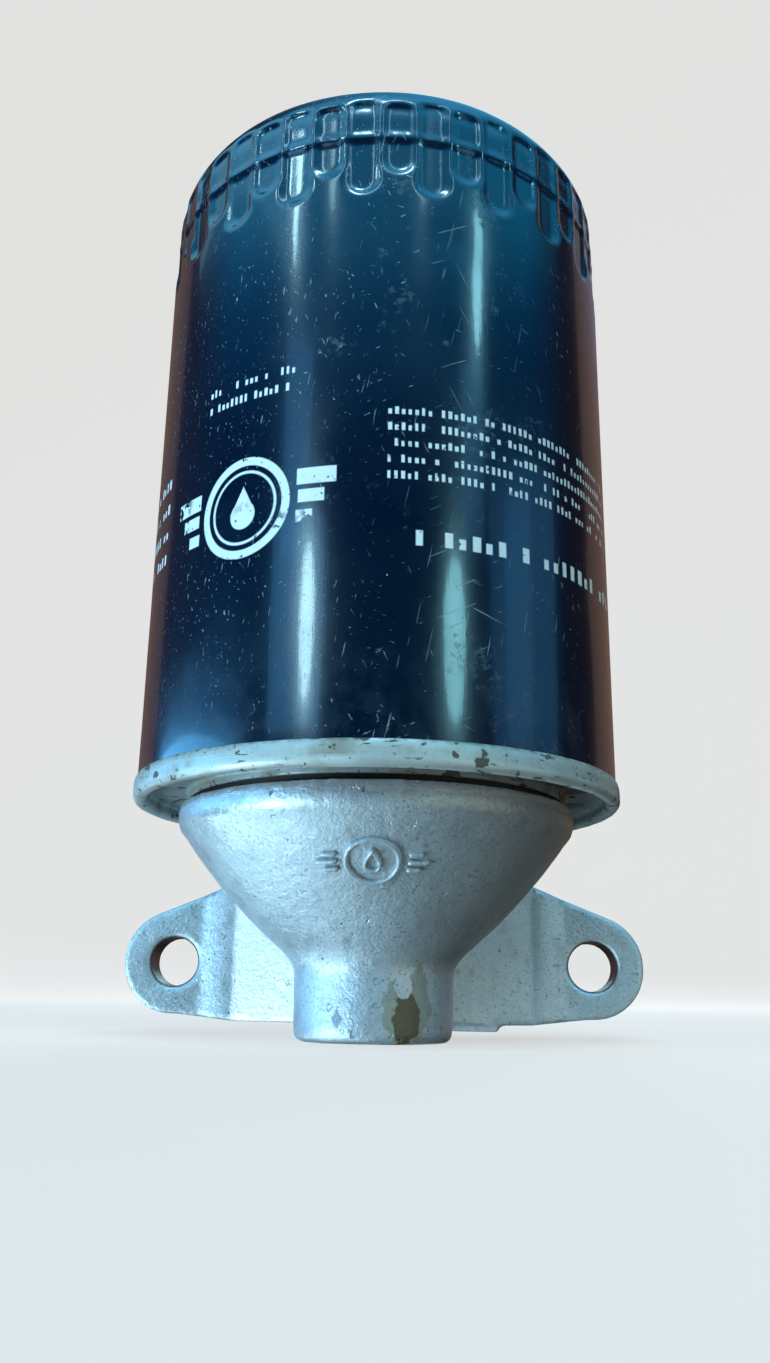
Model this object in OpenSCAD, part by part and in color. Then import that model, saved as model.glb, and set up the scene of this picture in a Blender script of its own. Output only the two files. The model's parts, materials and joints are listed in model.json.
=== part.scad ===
// Spin-on oil filter screwed onto a flanged, cast mounting head. Millimetres, +Z up.
// The origin is on the filter's axis, at the lower end of the head's boss.
// The head's mounting flange faces +Y, and the can's closed end is up.

/* [Mounting head] */
// Height of the sealing land above the boss's lower end
head_h = 42; // [41:0.5:46]
// Diameter of the machined rim round the sealing land
head_d = 75.4; // [74:0.2:76]
// Diameter of the boss at its lower end
boss_d = 29.4; // [28:0.2:31]
// Height at which the boss meets the cone
boss_h = 14.6; // [13:0.2:16]
// Wall radius of the tapped outlet port in the boss
port_r = 9.5; // [9:0.1:10]
// Depth of the outlet port
port_depth = 15; // [12:0.5:16]
// Radius of the drilled inlet port in the flange
inlet_r = 6; // [5:0.25:6.5]
// Height of the inlet port's axis
inlet_z = 27.5; // [27:0.25:28]

/* [Flange] */
// Distance from the filter's axis to the mounting face
flange_y = 50; // [49:0.5:54]
// Thickness of the ears
ear_t = 9.5; // [8:0.5:10]
// Distance between the two bolt holes
bolt_spacing = 93.6; // [92:0.2:96]
// Diameter of the bolt holes
bolt_hole_d = 10.6; // [9:0.2:11]
// Height of the bolt holes
bolt_z = 15; // [14.5:0.5:16]
// Radius of the ears' round ends
ear_r = 11.3; // [10.5:0.1:12]
// Half width of the thick middle of the flange
pad_half_w = 33; // [31:0.5:35]

/* [Cartridge] */
// Outer diameter of the can
can_d = 91.6; // [91:0.2:92]
// Outer diameter of the rolled seam
seam_d = 93; // [92.8:0.1:94]
// Height of the rolled seam
seam_h = 4.5; // [4.2:0.1:5]
// Height of the straight wall above the seam, up to the dome's corner
wall_h = 118.2; // [110:0.2:125]
// Radius of the dome's corner
corner_r = 12.8; // [11:0.2:14]
// Thickness of the can's sheet
can_t = 0.7; // [0.5:0.1:0.8]
// Thickness of the seaming lid's sheet
lid_t = 0.7; // [0.5:0.1:0.8]
// Thickness of the tapping plate
plate_t = 3; // [2.5:0.25:3.5]
// Number of oil inlet holes in the tapping plate
inlet_holes = 8; // [6:1:8]

/* [Filter element] */
// Outer diameter of the end caps
cap_d = 77.6; // [74:0.2:80]
// Length of the element over its end caps
element_h = 103.7; // [95:0.1:108]
// Number of pleats
pleats = 48; // [40:2:52]
// Thickness of the pleated paper
paper_t = 0.55; // [0.4:0.05:0.6]
// Outer diameter of the centre tube
tube_d = 32.2; // [31:0.2:32.2]

/* [Thread and seal] */
// Outer diameter of the stud's thread
thread_d = 18.9; // [18.8:0.05:18.95]
// Radial play between the stud and the tapping plate's collar
thread_play = 0.08; // [0.05:0.01:0.1]
// Outer diameter of the sealing gasket
gasket_d = 70.4; // [70:0.1:70.6]
// Width of the gasket's section
gasket_w = 3.9; // [3.6:0.1:4]

/* [Hidden] */

$fn = 72;
cut = 1;                                  // overrun of a cutting solid
fit_gap = 0.05;                           // play between parts that slide or turn on each other

// Head
head_r = head_d / 2;
rim_h = 3;                                // height of the machined rim
boss_draft = 0.3;                         // growth of the boss's radius over its height
boss_edge_r = 1.2;                        // round on the boss's lower edge
cone_low = [boss_d / 2 + 1.9, boss_h + 0.7];
cone_high = [head_r - 1.1, head_h - 5];
cone_bulge = 1.05;                        // how far the cone swells past a straight line
shoulder_bulge = 0.45;
chamber_in_r = 13.5;                      // outside of the stud's own boss
chamber_floor = 29;
chamber_out_r = 29.5;                     // inside of the sealing land
chamber_low_r = 23;
stud_boss_drop = 1;                       // the stud's boss ends this far below the land
stud_low = 24;
stud_high = 58;
stud_bore_r = 6.5;
stud_r = thread_d / 2;
stud_chamfer = 0.8;
inlet_end_y = 21;                         // where the inlet drilling stops

// Flange
bolt_x = bolt_spacing / 2;
ear_y = flange_y - ear_t;
ear_low_angle = -96;                      // where the lower edge leaves the ear's round
ear_high_angle = 68;                      // where the upper edge leaves it
flange_top = 37.9;
flange_top_half = 20;
flange_low = 2.3;
scoop_w = 7.5;                            // width of the hollow between ear and thick middle
scoop_rise = 1.6;                         // how far the thick middle stands out of the ear
pad_front_y = 32.5;                       // front of the thick middle, beside the boss
neck_half_w = 13;
hole_bevel = 0.7;
lug_x = [14, 25.6];                       // ends of the low lug beside the boss
lug_y = [36, 46];
lug_low = 1;

// Levels of the cartridge
seam_low = head_h + 0.3;
seam_top = seam_low + seam_h;
seam_r = seam_d / 2;
seam_in_r = 43.7;                         // inner face of the rolled seam
seam_round = 1.3;
can_r = can_d / 2;
can_foot = seam_low + 1.7;                // lower edge of the can's wall, inside the seam
corner_z = seam_top + wall_h;
crown_tilt = 10;                          // slope where the corner meets the crown
crown_r = (can_r - corner_r + corner_r * sin(crown_tilt)) / sin(crown_tilt);
crown_z = corner_z + (corner_r - crown_r) * cos(crown_tilt);
panel_z = seam_low + 2.7;                 // lower face of the lid's flat panel
groove_z = head_h + 4.6;                  // floor of the gasket's groove
groove_out_r = gasket_d / 2 + 0.3;
groove_in_r = gasket_d / 2 - gasket_w - 0.3;
gasket_wall_z = seam_low + 0.9;           // lower edge of the wall that holds the gasket in
lid_hole_r = 27;
seam_edge = 0.5;                          // round on the seam's upper edge
plate_z = groove_z + lid_t;
plate_top = plate_z + plate_t;
plate_r = 41;
collar_r = 12;
collar_h = 7;                             // height of the threaded collar above the plate
collar_in_r = stud_r + thread_play;
inlet_hole_r = 3;
inlet_hole_circle = 20.5;

// Levels of the element
element_z = plate_top + 6;
element_top = element_z + element_h;
cap_t = 0.6;
cap_r = cap_d / 2;
cap_rim = 5;                              // height of a cap's outer rim
bead_t = 1;
tube_r = tube_d / 2;
tube_t = 0.6;
valve_neck_r = collar_r + 2;
valve_shoulder_r = valve_neck_r + 3;
valve_lip_in_r = 25.5;
valve_lip_r = 27.5;                       // the lip covers the plate's holes
valve_skirt_t = 1.7;                      // height of the skirt where it leaves the shoulder
valve_shoulder_t = 0.6;
valve_edge = 0.9;                         // height of the lip, and of the neck above the cap
cap_neck_h = 4;
cap_neck_r = valve_neck_r + 0.3;
paper_in_r = tube_r + 1;
paper_out_r = cap_r - cap_t - 0.9;
fold_tip = 0.95;                          // half width of an outer fold
fold_root = 0.25;                         // half width of the gap at an inner fold
paper_low = element_z + cap_t + bead_t;
paper_high = element_top - cap_t - bead_t;
clip_depth = 7;
clip_t = 0.8;
clip_end = 0.5;                           // gap between the clip's ends and the beads
tube_hole_r = 2.5;
tube_hole_rows = 7;
tube_holes_round = 8;

// Relief valve
relief_hole_r = 6.5;
seat_r = 10.5;                            // hole in the upper cap that the seat fits
seat_flange_r = 12.5;
seat_t = 0.8;
seat_low = element_top - 1.8;
cage_low = element_top - 18;
cage_hole_r = 3;
cage_window = [6, 9];                     // width and height of the cage's windows
cage_window_z = cage_low + 4;
relief_coil_r = 6;
relief_wire = 1.1;
disc_r = 9.8;
disc_t = 0.8;
seal_t = 0.95;
seal_low = seat_low - fit_gap - seal_t;
disc_low = seal_low - disc_t;

// Support spring, which touches the crown's inside round its widest edge
support_coil_r = 20;
support_wire = 1.8;
support_edge_r = support_coil_r + support_wire / 2 + 0.1;
support_top = crown_z + sqrt(pow(crown_r - can_t, 2) - pow(support_edge_r, 2)) - 0.1;

// Points of an arc from p to q that swells by bulge to the right of the line p to q
function arc_between(p, q, bulge, steps = 10) =
    let (chord = norm(q - p),
        r = (pow(chord / 2, 2) + pow(bulge, 2)) / (2 * bulge),
        along = (q - p) / chord,
        side = [along[1], -along[0]],
        centre = (p + q) / 2 - side * (r - bulge),
        half = asin(chord / 2 / r))
    [for (i = [0 : steps]) let (a = -half + 2 * half * i / steps)
        centre + r * (sin(a) * along + cos(a) * side)];

// Points of an arc round c, from angle a0 to angle a1
function arc_points(c, r, a0, a1, steps = 12) =
    [for (i = [0 : steps]) let (a = a0 + (a1 - a0) * i / steps) c + r * [cos(a), sin(a)]];

function polar(r, a) = [r * cos(a), r * sin(a)];

module tube(r_in, r_out, z_low, z_high)
    rotate_extrude()
        translate([r_in, z_low]) square([r_out - r_in, z_high - z_low]);

// A coil spring between two flat seats, with its end turns closed
module coil(r, wire, z_low, z_high, turns, sides = 8, steps = 20) {
    closed = 1;                           // closed turns at each end
    rise = z_high - z_low - wire;
    end_rise = closed * wire * 1.04;
    function height(t) =
        t < closed ? t / closed * end_rise
        : t > turns - closed ? rise - (turns - t) / closed * end_rise
        : end_rise + (t - closed) / (turns - 2 * closed) * (rise - 2 * end_rise);
    n = turns * steps;
    points = [for (i = [0 : n], j = [0 : sides - 1])
        let (a = 360 * i / steps, b = 360 * j / sides, d = r + wire / 2 * cos(b))
        [d * cos(a), d * sin(a), z_low + wire / 2 + height(i / steps) + wire / 2 * sin(b)]];
    walls = [for (i = [0 : n - 1], j = [0 : sides - 1])
        let (k = (j + 1) % sides)
        [i * sides + j, i * sides + k, (i + 1) * sides + k, (i + 1) * sides + j]];
    low_end = [[for (j = [sides - 1 : -1 : 0]) j]];
    high_end = [[for (j = [0 : sides - 1]) n * sides + j]];
    polyhedron(points, concat(walls, low_end, high_end));
}

module head_body() {
    boss_r = boss_d / 2;
    boss_edge = arc_points([boss_r - boss_edge_r, boss_edge_r], boss_edge_r, -90, 0, 5);
    cone = arc_between(cone_low, cone_high, cone_bulge, 14);
    shoulder = arc_between(cone_high, [head_r, head_h - rim_h], shoulder_bulge, 5);
    rotate_extrude($fn = 120)
        polygon(concat([[0, 0]], boss_edge, [[boss_r + boss_draft, boss_h - 1.5]], cone, shoulder,
            [[head_r, head_h], [0, head_h]]));
}

function flange_half(s) =
    let (ear = arc_points([bolt_x, bolt_z], ear_r, ear_low_angle, ear_high_angle, 16),
        side = concat([[pad_half_w, flange_low + 0.1]], ear, [[flange_top_half, flange_top]]))
    [for (p = side) [s * p[0], p[1]]];

function reversed(list) = [for (i = [len(list) - 1 : -1 : 0]) list[i]];

module flange_slab(depth)
    translate([0, flange_y, 0]) rotate([90, 0, 0]) linear_extrude(depth)
        polygon(concat([[0, flange_low]], flange_half(1), reversed(flange_half(-1))));

// Plan of the thick middle: it slopes from the ears' hollows to the neck behind the boss
module pad_plan() {
    pad_edge = [pad_half_w, ear_y - scoop_rise];
    scoop = arc_between([pad_half_w + scoop_w, ear_y], pad_edge, -0.45, 6);
    side = concat(scoop, [[neck_half_w + 2, pad_front_y], [neck_half_w, pad_front_y - 3],
        [neck_half_w, 0]]);
    back = [[pad_half_w + scoop_w, flange_y]];
    polygon(concat(back, side, reversed([for (p = concat(back, side)) [-p[0], p[1]]])));
}

module filter_head() color([0.66, 0.72, 0.76]) difference() {
    union() {
        head_body();
        flange_slab(ear_t);
        intersection() {
            flange_slab(flange_y);
            linear_extrude(head_h) pad_plan();
        }
        translate([lug_x[0], lug_y[0], lug_low])
            cube([lug_x[1] - lug_x[0], lug_y[1] - lug_y[0], flange_low + cut - lug_low]);
    }
    // outlet port, passage and the stud's tapped hole
    translate([0, 0, -cut]) cylinder(r = port_r, h = port_depth + cut);
    cylinder(r = stud_bore_r, h = stud_low + cut);
    translate([0, 0, stud_low]) cylinder(r = stud_r, h = head_h);
    // annular inlet chamber round the stud's boss
    rotate_extrude($fn = 96)
        polygon([[chamber_in_r, head_h + cut], [chamber_in_r, chamber_floor],
            [chamber_low_r, chamber_floor],
            [chamber_out_r, chamber_floor + chamber_out_r - chamber_low_r],
            [chamber_out_r, head_h + cut]]);
    translate([0, 0, head_h - stud_boss_drop]) cylinder(r = chamber_in_r + cut, h = head_h);
    // inlet port
    translate([0, flange_y + cut, inlet_z]) rotate([90, 0, 0])
        cylinder(r = inlet_r, h = flange_y + cut - inlet_end_y);
    // bolt holes, bevelled at the front
    for (s = [-1, 1]) translate([s * bolt_x, flange_y + cut, bolt_z]) rotate([90, 0, 0]) {
        cylinder(r = bolt_hole_d / 2, h = ear_t + 2 * cut);
        translate([0, 0, ear_t + cut - hole_bevel])
            cylinder(r1 = bolt_hole_d / 2, r2 = bolt_hole_d / 2 + hole_bevel, h = hole_bevel);
    }
}

module threaded_stud() color([0.62, 0.62, 0.6])
    rotate_extrude()
        polygon([[stud_bore_r, stud_low], [stud_r, stud_low], [stud_r, stud_high - stud_chamfer],
            [stud_r - stud_chamfer, stud_high], [stud_bore_r, stud_high]]);

module sealing_gasket() color([0.06, 0.06, 0.07])
    tube(gasket_d / 2 - gasket_w, gasket_d / 2, head_h + fit_gap, groove_z - 0.3);

module seaming_lid() color([0.68, 0.66, 0.6]) {
    low = seam_low + seam_round;
    inner_low = arc_points([seam_in_r + seam_round, low], seam_round, 180, 270, 4);
    outer_low = arc_points([seam_r - seam_round, low], seam_round, 270, 360, 5);
    outer_top = arc_points([seam_r - seam_edge, seam_top - seam_edge], seam_edge, 0, 90, 3);
    wall_r = groove_out_r + lid_t;
    slot = [[can_r, seam_top], [can_r, can_foot], [can_r - can_t, can_foot],
        [can_r - can_t, seam_top]];
    top = [[seam_in_r, seam_top], [seam_in_r, panel_z + lid_t]];
    groove_over = [[wall_r, panel_z + lid_t], [wall_r, plate_z],
        [groove_in_r - lid_t, plate_z], [groove_in_r - lid_t, panel_z + lid_t],
        [lid_hole_r, panel_z + lid_t]];
    groove_under = [[lid_hole_r, panel_z], [groove_in_r, panel_z], [groove_in_r, groove_z],
        [groove_out_r, groove_z], [groove_out_r, gasket_wall_z], [wall_r, gasket_wall_z],
        [wall_r, panel_z], [seam_in_r, panel_z]];
    rotate_extrude($fn = 120)
        polygon(concat(inner_low, outer_low, outer_top, slot, top, groove_over, groove_under));
}

module tapping_plate() color([0.45, 0.45, 0.46]) difference() {
    union() {
        translate([0, 0, plate_z]) cylinder(r = plate_r, h = plate_t);
        translate([0, 0, plate_z]) cylinder(r = collar_r, h = plate_t + collar_h);
    }
    translate([0, 0, plate_z - cut]) cylinder(r = collar_in_r, h = plate_t + collar_h + 2 * cut);
    for (i = [0 : inlet_holes - 1]) rotate([0, 0, 360 * i / inlet_holes])
        translate([inlet_hole_circle, 0, plate_z - cut])
            cylinder(r = inlet_hole_r, h = plate_t + 2 * cut);
}

module filter_can() color([0.03, 0.12, 0.24]) {
    corner = [can_r - corner_r, corner_z];
    crown = [0, crown_z];
    inner_corner_r = corner_r - can_t;
    outer = concat(arc_points(corner, corner_r, 0, 90 - crown_tilt, 12),
        arc_points(crown, crown_r, 90 - crown_tilt, 90, 6));
    inner = concat(arc_points(corner, inner_corner_r, 0, 90 - crown_tilt, 12),
        arc_points(crown, crown_r - can_t, 90 - crown_tilt, 90, 6));
    rotate_extrude($fn = 120)
        polygon(concat([[can_r - can_t, can_foot], [can_r, can_foot]], outer, reversed(inner)));
}

module drainback_valve() color([0.1, 0.1, 0.11]) {
    neck_in = collar_r + fit_gap;
    low = plate_top + fit_gap;
    top = element_z + valve_edge;
    shoulder_z = element_z - 0.1;
    skirt_z = shoulder_z - valve_shoulder_t;
    rotate_extrude()
        polygon([[neck_in, low], [valve_neck_r, low], [valve_neck_r, skirt_z - valve_skirt_t],
            [valve_shoulder_r, skirt_z - valve_skirt_t], [valve_lip_in_r, low + 0.1],
            [valve_lip_r, low], [valve_lip_r, low + valve_edge], [valve_shoulder_r, skirt_z],
            [valve_shoulder_r, shoulder_z], [valve_neck_r, shoulder_z], [valve_neck_r, top],
            [neck_in, top]]);
}

module lower_end_cap() color([0.7, 0.7, 0.66])
    rotate_extrude()
        polygon([[cap_neck_r, element_z], [cap_r, element_z], [cap_r, element_z + cap_rim],
            [cap_r - cap_t, element_z + cap_rim], [cap_r - cap_t, element_z + cap_t],
            [cap_neck_r + cap_t, element_z + cap_t], [cap_neck_r + cap_t, element_z + cap_neck_h],
            [cap_neck_r, element_z + cap_neck_h]]);

module upper_end_cap() color([0.7, 0.7, 0.66])
    rotate_extrude()
        polygon([[seat_r, element_top - cap_t], [cap_r - cap_t, element_top - cap_t],
            [cap_r - cap_t, element_top - cap_rim], [cap_r, element_top - cap_rim],
            [cap_r, element_top], [seat_r, element_top]]);

module lower_bead() color([0.75, 0.6, 0.3])
    tube(tube_r, cap_r - cap_t, element_z + cap_t, paper_low);

module upper_bead() color([0.75, 0.6, 0.3])
    tube(tube_r, cap_r - cap_t, paper_high, element_top - cap_t);

// Outline of folded paper: tips of half width w_out at r_out, roots of half width w_in at r_in
function zigzag(r_out, r_in, w_out, w_in) =
    let (pitch = 360 / pleats, t = w_out / r_out * 180 / PI, u = w_in / r_in * 180 / PI)
    [for (i = [0 : pleats - 1]) let (a = i * pitch, b = a + pitch / 2)
        each [polar(r_out, a - t), polar(r_out, a + t), polar(r_in, b - u), polar(r_in, b + u)]];

module pleated_element() color([0.86, 0.78, 0.5])
    translate([0, 0, paper_low]) linear_extrude(paper_high - paper_low) difference() {
        polygon(zigzag(paper_out_r, paper_in_r + paper_t, fold_tip, fold_root));
        polygon(zigzag(paper_out_r - paper_t, paper_in_r, fold_tip - 0.5, fold_root + 0.5));
    }

// Crimped metal strip that joins the two ends of the paper, in the gap between two folds
module pleat_clip() color([0.7, 0.7, 0.7])
    rotate([0, 0, 180 / pleats])
        translate([paper_out_r - clip_depth, -clip_t / 2, paper_low + clip_end])
            cube([clip_depth, clip_t, paper_high - paper_low - 2 * clip_end]);

module centre_tube() color([0.72, 0.72, 0.7]) difference() {
    tube(tube_r - tube_t, tube_r, element_z + cap_t, element_top - cap_t);
    for (row = [1 : tube_hole_rows], i = [0 : tube_holes_round / 2 - 1])
        translate([0, 0, element_z + row * element_h / (tube_hole_rows + 2)])
            rotate([0, 90, (i + row % 2 / 2) * 360 / tube_holes_round])
                cylinder(r = tube_hole_r, h = tube_d, center = true);
}

module relief_seat() color([0.6, 0.6, 0.58])
    rotate_extrude()
        polygon([[relief_hole_r, seat_low], [seat_r, seat_low], [seat_r, element_top],
            [seat_flange_r, element_top], [seat_flange_r, element_top + seat_t],
            [relief_hole_r, element_top + seat_t]]);

module relief_seal() color([0.1, 0.1, 0.1])
    tube(relief_hole_r - 1, disc_r, seal_low, seal_low + seal_t);

module relief_disc() color([0.6, 0.6, 0.6])
    translate([0, 0, disc_low]) cylinder(r = disc_r, h = disc_t);

module relief_spring() color([0.5, 0.5, 0.52])
    coil(relief_coil_r, relief_wire, cage_low + cap_t, disc_low, 6);

module relief_cage() color([0.65, 0.65, 0.62]) difference() {
    tube(cage_hole_r, seat_r + cap_t, cage_low, element_top - cap_t);
    translate([0, 0, cage_low + cap_t]) cylinder(r = seat_r, h = element_top - cage_low);
    for (i = [0 : 3]) rotate([0, 0, 90 * i + 45])
        translate([seat_r - cut, -cage_window[0] / 2, cage_window_z])
            cube([cap_t + 2 * cut, cage_window[0], cage_window[1]]);
}

module support_spring() color([0.5, 0.5, 0.52])
    coil(support_coil_r, support_wire, element_top, support_top, 4, 8, 30);

filter_head();
threaded_stud();
sealing_gasket();
seaming_lid();
tapping_plate();
filter_can();
drainback_valve();
lower_end_cap();
lower_bead();
pleated_element();
pleat_clip();
centre_tube();
upper_bead();
upper_end_cap();
relief_seat();
relief_seal();
relief_disc();
relief_spring();
relief_cage();
support_spring();
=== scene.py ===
"""Looks of the spin-on oil filter and its mounting head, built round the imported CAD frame.

Everything is in metres in the CAD frame: +Z runs along the filter's axis from the boss to the can's
closed end, and the flange faces +Y. "Front" is -Y. Angles round the axis, called theta, are measured
from the front towards +X.
"""

import json
import math

import bpy
import numpy as np
from mathutils import Matrix, Vector, noise
from mathutils.bvhtree import BVHTree


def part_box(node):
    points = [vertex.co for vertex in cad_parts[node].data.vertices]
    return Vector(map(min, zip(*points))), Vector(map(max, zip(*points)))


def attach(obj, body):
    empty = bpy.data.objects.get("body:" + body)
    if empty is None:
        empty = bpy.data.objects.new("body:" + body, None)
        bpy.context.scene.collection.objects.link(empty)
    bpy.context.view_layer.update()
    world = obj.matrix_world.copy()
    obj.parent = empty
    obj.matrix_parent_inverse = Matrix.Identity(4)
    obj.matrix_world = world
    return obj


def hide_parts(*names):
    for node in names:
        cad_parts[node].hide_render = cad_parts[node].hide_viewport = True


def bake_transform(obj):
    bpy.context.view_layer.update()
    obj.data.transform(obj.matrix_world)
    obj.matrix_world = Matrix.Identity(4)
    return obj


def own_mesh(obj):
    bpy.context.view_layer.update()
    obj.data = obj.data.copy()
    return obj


MM = 0.001
rng = np.random.default_rng(7)

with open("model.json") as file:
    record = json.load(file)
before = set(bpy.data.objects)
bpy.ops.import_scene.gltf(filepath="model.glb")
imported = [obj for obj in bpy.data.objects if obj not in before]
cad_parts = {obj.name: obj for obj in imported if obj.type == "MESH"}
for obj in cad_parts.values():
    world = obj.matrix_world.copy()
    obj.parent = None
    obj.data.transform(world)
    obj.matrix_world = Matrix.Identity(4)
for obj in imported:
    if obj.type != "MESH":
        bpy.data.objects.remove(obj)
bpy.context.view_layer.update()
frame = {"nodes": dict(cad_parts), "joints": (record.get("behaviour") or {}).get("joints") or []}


# ---------------- mesh helpers

def in_scene(name, data):
    """A new object of the scene with that mesh, light or camera."""
    obj = bpy.data.objects.new(name, data)
    bpy.context.scene.collection.objects.link(obj)
    return obj


def smooth_mesh(name, points, faces, material):
    """A smooth-shaded mesh object from arrays of points and faces."""
    mesh = bpy.data.meshes.new(name)
    mesh.from_pydata([tuple(p) for p in points], [], [tuple(f) for f in faces])
    mesh.validate()
    mesh.shade_smooth()
    mesh.materials.append(material)
    return in_scene(name, mesh)


def add_piece(name, points, faces, body, material, stands_for=()):
    """A piece of the object, riding on a CAD body; it may stand for some CAD nodes."""
    obj = smooth_mesh(name, points, faces, material)
    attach(obj, body)
    if stands_for:
        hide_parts(*stands_for)
    return obj


def ring_quads(rows, columns, first=0):
    """Quads that join `rows` closed rings of `columns` points, numbered ring by ring."""
    i, j = np.meshgrid(np.arange(rows - 1), np.arange(columns), indexing="ij")
    k = (j + 1) % columns
    low, high = first + i * columns, first + (i + 1) * columns
    return np.stack([low + j, low + k, high + k, high + j], axis=-1).reshape(-1, 4)


def looped_quads(rows, columns):
    """The quads of ring_quads, and those that join the last ring to the first."""
    last = ring_quads(2, columns)
    last = np.where(last >= columns, last - columns, last + (rows - 1) * columns)
    return np.concatenate([ring_quads(rows, columns), last])


def on_axis(theta, r, z):
    """Points at angle theta from the front, radius r and height z."""
    return np.stack([r * np.sin(theta), -r * np.cos(theta), z + 0 * theta], axis=-1)


def arc(centre, radius, start, end, steps):
    """Points (r, z) on a circle, from angle start to angle end, in degrees."""
    turn = np.radians(np.linspace(start, end, steps + 1))
    return [(centre[0] + radius * math.cos(a), centre[1] + radius * math.sin(a)) for a in turn]


def densify(outline, step):
    """The closed outline with extra points, so that none of its edges is longer than step."""
    points = []
    for a, b in zip(outline, outline[1:] + outline[:1]):
        a, b = np.array(a), np.array(b)
        parts = max(1, math.ceil(np.linalg.norm(b - a) / step))
        points += [tuple(a + (b - a) * k / parts) for k in range(parts)]
    return points


def revolve(outline, columns, wobble=None):
    """A ring swept from a closed (r, z) outline; wobble(theta, r, z) may shift its points."""
    theta = all_round(columns)
    r, z = (np.repeat(np.array(c)[:, None], columns, 1) for c in zip(*outline))
    t = np.repeat(theta[None], len(outline), 0)
    if wobble:
        r, z = wobble(t, r, z)
    return on_axis(t, r, z).reshape(-1, 3), looped_quads(len(outline), columns)


def all_round(columns):
    """That many angles, evenly round the axis."""
    return np.linspace(0, 2 * math.pi, columns, endpoint=False)


def turn_from(at, theta):
    """The turn from the angle `at` to theta, between -pi and pi."""
    return (theta - at + math.pi) % (2 * math.pi) - math.pi


def smooth_step(x, low, high):
    """0 up to low, 1 from high on, and a smooth rise between them."""
    t = np.clip((x - low) / (high - low), 0, 1)
    return t * t * (3 - 2 * t)


WAVES = 6


def wave_noise(theta, v, cycles, per_metre, seed):
    """Slow, seamless noise over the angle and a length: a sum of a few seeded waves, about -1 to 1."""
    draw = np.random.default_rng(seed)
    total = 0
    for _ in range(WAVES):
        turns = draw.integers(1, cycles + 1) * draw.choice([-1, 1])
        slant = draw.uniform(-1, 1) * per_metre
        total = total + np.sin(turns * theta + slant * v + draw.uniform(0, 6.28))
    return total / WAVES ** 0.5 / 1.4


# ---------------- material helpers

class Nodes:
    """Adds nodes to one node tree. An input may be another node's output, a number or a tuple."""

    def __init__(self, tree):
        self.tree = tree

    def put(self, socket, value):
        if isinstance(value, bpy.types.NodeSocket):
            self.tree.links.new(value, socket)
        else:
            socket.default_value = value

    def new(self, kind):
        return self.tree.nodes.new("ShaderNode" + kind)

    def node(self, kind, inputs, **settings):
        """The first output of a new node with those inputs and settings."""
        made = self.new(kind)
        for key, value in settings.items():
            setattr(made, key, value)
        for key, value in inputs.items():
            self.put(made.inputs[key], value)
        return made.outputs[0]

    def math(self, operation, *values):
        return self.node("Math", dict(enumerate(values)), operation=operation)

    def minus(self, a, b):
        return self.math("SUBTRACT", a, b)

    def size(self, value):
        """The value without its sign."""
        return self.math("ABSOLUTE", value)

    def vector(self, operation, *values):
        return self.node("VectorMath", dict(enumerate(values)), operation=operation)

    def split(self, vector):
        """The x, y and z of a vector."""
        return self.node("SeparateXYZ", {0: vector}).node.outputs

    def ramp(self, value, low, high, to_low=0.0, to_high=1.0, kind="LINEAR"):
        """value from low..high to to_low..to_high, clamped."""
        return self.node("MapRange", {0: value, 1: low, 2: high, 3: to_low, 4: to_high},
                         interpolation_type=kind)

    def mix(self, amount, a, b):
        """Colour a to b."""
        made = self.new("Mix")
        made.data_type = "RGBA"
        self.put(made.inputs[0], amount)
        for index, value in ((6, a), (7, b)):
            self.put(made.inputs[index], (*value, 1) if isinstance(value, tuple) else value)
        return made.outputs[2]

    def over(self, colour, mask, tint, strength=1.0):
        """The colour with a tint laid over it where the mask is 1."""
        return self.mix(mask if strength == 1.0 else self.product(mask, strength), colour, tint)

    def chain(self, operation, values):
        result = values[0]
        for value in values[1:]:
            result = self.math(operation, result, value)
        return result

    def total(self, *values):
        return self.chain("ADD", values)

    def product(self, *values):
        return self.chain("MULTIPLY", values)

    def either(self, *values):
        return self.chain("MAXIMUM", values)

    def blend(self, amount, a, b):
        """Number a to b."""
        return self.total(a, self.product(amount, self.minus(b, a)))

    def length(self, u, w):
        """Distance of (u, w) from (0, 0)."""
        return self.math("SQRT", self.total(self.math("POWER", u, 2.0), self.math("POWER", w, 2.0)))

    def band(self, value, low, high, soft=0.3):
        """1 between low and high, falling to 0 over soft at both ends."""
        rise = self.ramp(value, low - soft, low)
        fall = self.ramp(value, high, high + soft, 1.0, 0.0)
        return self.product(rise, fall)


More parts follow.
